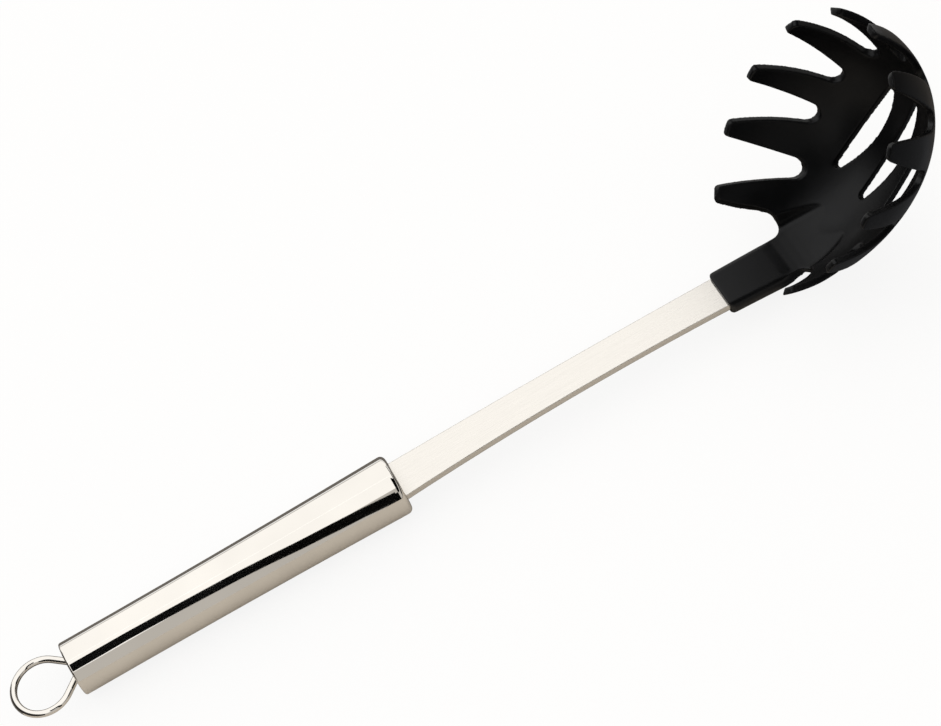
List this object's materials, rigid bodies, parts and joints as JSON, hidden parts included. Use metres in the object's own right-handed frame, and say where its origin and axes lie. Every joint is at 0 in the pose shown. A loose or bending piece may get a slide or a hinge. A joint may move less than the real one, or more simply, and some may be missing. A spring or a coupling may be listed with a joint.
{
  "type": "pasta server",
  "caption": "Kitchen pasta server with a hollow steel handle, a hanging loop, a bowed steel shank and a fingered nylon bowl with drain slots.",
  "frame": {"origin": "centre of the hanging loop, in the middle of its wire", "axes": "+X along the handle from the loop to the head, +Z the side the bowl opens to, +Y across; the object is symmetric about y = 0"},
  "size_m": [0.3341, 0.0708, 0.094],
  "materials": {
    "handle_steel": "mirror-polished stainless steel",
    "wire_steel": "polished stainless steel wire",
    "shank_steel": "satin-polished stainless steel strip",
    "head_nylon": "black moulded nylon with a soft sheen"
  },
  "bodies": {
    "root": {"handle_tube": "handle_steel", "front_cap": "handle_steel", "rear_cap": "handle_steel", "hanging_loop": "wire_steel", "shank": "shank_steel", "head": "head_nylon"}
  },
  "joints": []
}
